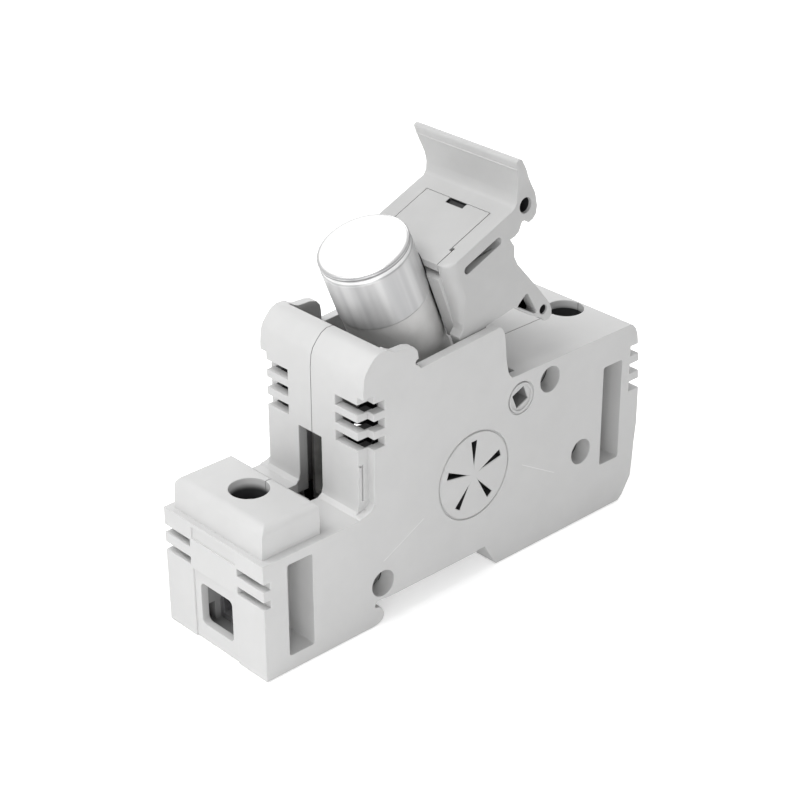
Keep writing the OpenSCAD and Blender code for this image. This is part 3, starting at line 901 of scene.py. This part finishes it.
def softened(node: str, radius: float, broad: Optional["Broad"] = None) -> bmesh.types.BMesh:
    """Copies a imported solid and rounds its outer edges.

    Args:
        node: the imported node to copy.
        radius: width of the rounding in metres.
        broad: edges that get a broader rounding of their own.

    Returns:
        The rounded shape.
    """
    bm = welded(node)
    bmesh.ops.dissolve_limit(
        bm, angle_limit=FLAT, use_dissolve_boundaries=False,
        verts=bm.verts, edges=bm.edges, delimit={"NORMAL"},
    )
    if broad:
        rounded(bm, [edge for edge in bm.edges if broad.picks(edge)], broad.radius * MM, 6)
    picked = [
        edge for edge in bm.edges
        if len(edge.link_faces) == 2 and edge.is_convex and edge.calc_face_angle(0.0) > SHARP
        and broad_enough(edge, radius * 1.3) and not on_front_seam(edge)
    ]
    rounded(bm, picked, radius, 2)
    return bm


def on_front_seam(edge: bmesh.types.BMEdge) -> bool:
    """Whether an edge lies on the tight seam of the low end's cover and front."""
    return all(abs(v.co.y) < 0.01 * MM and v.co.x < -46.0 * MM for v in edge.verts)


@dataclass(frozen=True)
class Broad:
    """Edges of the carrier's arms that face the fuse link, in its own frame."""

    radius: float = 3.0
    side_y: float = 15.2
    most_v: float = 9.7
    low_u: float = -26.0
    high_u: float = -9.0

    def picks(self, edge: bmesh.types.BMEdge) -> bool:
        """Whether the edge is one of them.

        Args:
            edge: an edge of the carrier.

        Returns:
            True where both ends lie on the outer front line of an arm.
        """
        for vert in edge.verts:
            x, z = vert.co.x - PIVOT_XZ[0], vert.co.z - PIVOT_XZ[1]
            v = x * math.cos(CARRIER_TILT) + z * math.sin(CARRIER_TILT) + PIVOT_VU[0]
            u = z * math.cos(CARRIER_TILT) - x * math.sin(CARRIER_TILT) + PIVOT_VU[1]
            if abs(abs(vert.co.y) - self.side_y * MM) > 0.06 * MM:
                return False
            if v > self.most_v * MM or not self.low_u * MM < u < self.high_u * MM:
                return False
        return len(edge.link_faces) == 2


@dataclass(frozen=True)
class MouldedPiece:
    """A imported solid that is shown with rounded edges."""

    node: str
    body: str
    slot: str
    finish: Finish
    radius: float
    broad: Optional[Broad] = None

    def build(self) -> bpy.types.Object:
        """Makes the shown piece.

        Returns:
            The piece, which stands for its node.
        """
        piece = show(f"{self.node}_soft", softened(self.node, self.radius * MM, self.broad), self.finish)
        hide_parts(self.node)
        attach(piece, self.body)
        return piece


@dataclass
class Housing:
    """The two shells, the rivets, the contacts and their springs."""

    body: str = "housing"

    def build(self) -> List[bpy.types.Object]:
        """Makes the pieces of the housing.

        Returns:
            The new pieces.
        """
        rows = (
            ("housing_near", "housing_grey", Finish.HOUSING, 0.24),
            ("housing_far", "housing_grey", Finish.HOUSING, 0.24),
            ("contact_left", "contact_metal", Finish.CONTACT, 0.12),
            ("contact_right", "contact_metal", Finish.CONTACT, 0.12),
            ("jaw_spring_left", "spring_steel", Finish.SPRING, 0.1),
            ("jaw_spring_right", "spring_steel", Finish.SPRING, 0.1),
            ("shell_rivets", "rivet_metal", Finish.RIVET, 0.1),
        )
        return [MouldedPiece(row[0], self.body, *row[1:]).build() for row in rows]


@dataclass
class Carrier:
    """The hinged carrier, its panel and its pivot bushes."""

    body: str = "carrier"

    def build(self) -> List[bpy.types.Object]:
        """Makes the pieces of the carrier.

        Returns:
            The new pieces.
        """
        rows = (
            ("carrier", Finish.CARRIER, 0.26, Broad()),
            ("carrier_panel", Finish.CARRIER, 0.14, None),
            ("pivot_bush_near", Finish.BUSH, 0.14, None),
            ("pivot_bush_far", Finish.BUSH, 0.14, None),
        )
        return [MouldedPiece(row[0], self.body, "carrier_dark", *row[1:]).build() for row in rows]


@dataclass
class Terminals:
    """The two screws with their rising cages, and the rail latch."""

    def build(self) -> List[bpy.types.Object]:
        """Makes the pieces of the terminals and the latch.

        Returns:
            The new pieces.
        """
        rows = (
            ("terminal_screw_left", "screw_low", "zinc_steel", Finish.ZINC, 0.12),
            ("terminal_screw_right", "screw_high", "zinc_steel", Finish.ZINC, 0.12),
            ("terminal_cage_left", "cage_low", "zinc_steel", Finish.ZINC, 0.2),
            ("terminal_cage_right", "cage_high", "zinc_steel", Finish.ZINC, 0.2),
            ("din_latch", "latch", "latch_plastic", Finish.LATCH, 0.2),
        )
        return [MouldedPiece(*row).build() for row in rows]


@dataclass(frozen=True)
class LatchSpring:
    """Coil spring behind the rail latch, shown at its imported length; the real spring shortens as the
    latch is drawn.
    """

    node: str = "latch_spring"
    draw: float = 3.5

    def build(self) -> bpy.types.Object:
        """Makes the spring.

        Returns:
            The piece, which stands for its node.
        """
        low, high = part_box(self.node)
        piece = show("latch_coil", welded(self.node), Finish.SPRING, smooth=60.0)
        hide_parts(self.node)
        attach(piece, "housing")
        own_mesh(piece)
        return piece


@dataclass(frozen=True)
class FuseCap:
    """End cap drawn from sheet, turned round the link's axis."""

    node: str
    name: str
    radius: float = CAP_RADIUS
    length: float = 16.0
    upper: bool = True
    steps: int = 128

    def profile(self) -> List[Tuple[float, float]]:
        """Outline from the middle of the face to the inside of the rim.

        Returns:
            Radius and height over the face, in millimetres.
        """
        r = self.radius
        rim = [
            (0.0, -0.10), (r - 1.9, -0.10), (r - 1.55, -0.06), (r - 1.25, 0.0), (r - 0.8, 0.0),
            (r - 0.42, -0.07), (r - 0.17, -0.26), (r - 0.08, -0.55), (r - 0.1, -1.05),
        ]
        groove = [
            (r - 0.26, -1.25), (r - 0.44, -1.45), (r - 0.44, -1.85), (r - 0.26, -2.1), (r - 0.04, -2.4),
        ]
        wall = [
            (r, -2.8), (r, -self.length + 0.5), (r - 0.06, -self.length + 0.15), (r - 0.2, -self.length),
            (r - 0.68, -self.length), (r - 0.68, -1.15), (0.0, -1.15),
        ]
        return rim + groove + wall

    def build(self) -> bpy.types.Object:
        """Makes the cap.

        Returns:
            The piece, which stands for its node.
        """
        bm = bmesh.new()
        ring = [bm.verts.new((r * MM, 0.0, h * MM)) for r, h in self.profile()]
        edges = [bm.edges.new(pair) for pair in zip(ring, ring[1:])]
        bmesh.ops.spin(
            bm, geom=ring + edges, cent=(0, 0, 0), axis=(0, 0, 1), angle=math.tau,
            steps=self.steps, use_merge=True, use_duplicate=False,
        )
        bmesh.ops.remove_doubles(bm, verts=bm.verts, dist=0.001 * MM)
        if not self.upper:
            bmesh.ops.scale(bm, verts=bm.verts, vec=(1.0, 1.0, -1.0))
            bmesh.ops.translate(bm, verts=bm.verts, vec=(0.0, 0.0, -2.0 * HALF_LINK * MM))
        turn = Matrix.Rotation(-CARRIER_TILT, 4, "Y")
        shift = Matrix.Translation((-PIVOT_VU[0], 0.0, -PIVOT_VU[1]))
        spot = Matrix.Translation((PIVOT_XZ[0], 0.0, PIVOT_XZ[1]))
        bmesh.ops.transform(bm, matrix=spot @ turn @ shift, verts=bm.verts)
        bmesh.ops.recalc_face_normals(bm, faces=bm.faces)
        piece = show(self.name, bm, Finish.CAP, smooth=50.0)
        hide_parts(self.node)
        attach(piece, "fuse_link")
        return piece


@dataclass
class PlainNodes:
    """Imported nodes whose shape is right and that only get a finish."""

    finishes: Dict[str, Finish] = field(
        default_factory=lambda: {"fuse_tube": Finish.CERAMIC, "link_spring": Finish.SPRING}
    )

    def build(self, nodes: Dict[str, bpy.types.Object]) -> List[bpy.types.Object]:
        """Dresses the nodes.

        Args:
            nodes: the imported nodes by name.

        Returns:
            The dressed nodes.
        """
        for name, finish in self.finishes.items():
            nodes[name].data.materials.clear()
            nodes[name].data.materials.append(finish.material())
        return [nodes[name] for name in self.finishes]


@dataclass(frozen=True)
class Lamp:
    """Soft square lamp that faces the object, in metres and watts."""

    name: str
    spot: Point
    size: float
    watts: float
    aim: Point = (0.0, 0.0, 0.04)

    def hang(self) -> None:
        """Makes the lamp."""
        data = bpy.data.lights.new(self.name, "AREA")
        data.shape = "SQUARE"
        data.size = self.size
        data.energy = self.watts
        obj = bpy.data.objects.new(self.name, data)
        turn = (Vector(self.aim) - Vector(self.spot)).to_track_quat("-Z", "Y").to_matrix().to_4x4()
        obj.matrix_world = Matrix.Translation(self.spot) @ turn
        bpy.context.scene.collection.objects.link(obj)


@dataclass
class Studio:
    """Floor, surround, lamps and camera, whose place is in millimetres and degrees."""

    azimuth: float = -42.669
    elevation: float = 27.8537
    roll: float = -0.2313
    focal: float = 91.093
    shift_mm: Tuple[float, float] = (-0.0606, 39.4039)
    reach_mm: float = 503.788
    x_offset_mm: float = -4.4
    surround: float = 0.6
    floor_glow: float = 0.42
    lamps: Tuple[Lamp, ...] = (
        Lamp("key_lamp", (-0.35, 0.15, 0.75), 0.5, 4.3),
        Lamp("front_lamp", (-0.28, -0.24, 0.09), 0.15, 0.42),
        Lamp("rim_lamp", (0.55, 0.45, 0.55), 0.4, 1.4),
    )

    def camera(self) -> None:
        """Makes the camera at the photograph's viewing angle."""
        a, e, r = (math.radians(v) for v in (self.azimuth, self.elevation, self.roll))
        back = Vector((math.sin(a) * math.cos(e), -math.cos(a) * math.cos(e), math.sin(e)))
        right = Vector((math.cos(a), math.sin(a), 0.0))
        up = back.cross(right)
        side = right * math.cos(r) + up * math.sin(r)
        top = up * math.cos(r) - right * math.sin(r)
        spot = side * self.shift_mm[0] + top * self.shift_mm[1] + back * self.reach_mm
        spot.x += self.x_offset_mm
        data = bpy.data.cameras.new("camera")
        data.lens = self.focal
        data.sensor_width = 36.0
        data.clip_start = 0.01
        obj = bpy.data.objects.new("camera", data)
        obj.matrix_world = Matrix.Translation(spot * MM) @ Matrix((side, top, back)).transposed().to_4x4()
        bpy.context.scene.collection.objects.link(obj)
        bpy.context.scene.camera = obj

    @staticmethod
    def unlit(sheet: NodeSheet) -> Link:
        """1 for rays from the camera, in gloss and through glass, and 0 for light.

        Args:
            sheet: the sheet to work on.

        Returns:
            The mask.
        """
        path = sheet.node("ShaderNodeLightPath", out="Is Camera Ray")
        return path.either(path.also("Is Glossy Ray")).either(path.also("Is Transmission Ray"))

    def floor(self) -> None:
        """Makes the pale floor, nearly white to the camera and still shadowed."""
        bm = bmesh.new()
        bmesh.ops.create_grid(bm, x_segments=8, y_segments=8, size=3.0)
        bmesh.ops.translate(bm, verts=bm.verts, vec=(0, 0, -0.2 * MM))
        mesh = bpy.data.meshes.new("floor")
        bm.to_mesh(mesh)
        bm.free()
        obj = bpy.data.objects.new("floor", mesh)
        bpy.context.scene.collection.objects.link(obj)
        sheet = Surface("floor_paper")
        paper = sheet.noise(900.0, 2.0)
        sheet.feed(Base_Color=sheet.blend(paper, (0.92, 0.92, 0.92), (0.94, 0.94, 0.94)), Roughness=0.9)
        glow = sheet.node("ShaderNodeEmission", values={"Strength": self.unlit(sheet) * self.floor_glow})
        both = sheet.node("ShaderNodeAddShader", values={0: sheet.shader, 1: glow})
        sheet.put(sheet.end.made.inputs["Surface"], both)
        mesh.materials.append(sheet.material)

    def world(self) -> None:
        """Makes a soft surround that shows as pure white."""
        world = bpy.data.worlds.new("surround")
        bpy.context.scene.world = world
        world.use_nodes = True
        sheet = NodeSheet(world.node_tree)
        level = self.unlit(sheet) * (1.0 - self.surround) + self.surround
        glow = sheet.node("ShaderNodeBackground", values={"Color": (1.0, 1.0, 1.0), "Strength": level})
        sheet.node("ShaderNodeOutputWorld", values={"Surface": glow})

    def build(self) -> None:
        """Makes the whole studio."""
        bpy.context.scene.view_settings.view_transform = "Standard"
        self.camera()
        self.floor()
        self.world()
        for lamp in self.lamps:
            lamp.hang()


def main() -> None:
    """Builds the studio and every piece."""
    logging.basicConfig(level=logging.INFO, format="%(message)s")
    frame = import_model()
    Studio().build()
    caps = (
        FuseCap("fuse_cap_upper", "spun_cap_upper"),
        FuseCap("fuse_cap_lower", "spun_cap_lower", upper=False),
    )
    pieces = [cap.build() for cap in caps]
    for maker in (Housing(), Carrier(), Terminals()):
        pieces += maker.build()
    pieces.append(LatchSpring().build())
    pieces += PlainNodes().build(frame["nodes"])
    for piece in pieces:
        LOG.info("%s: %d faces", piece.name, len(piece.data.polygons))


if __name__ == "__main__":
    main()
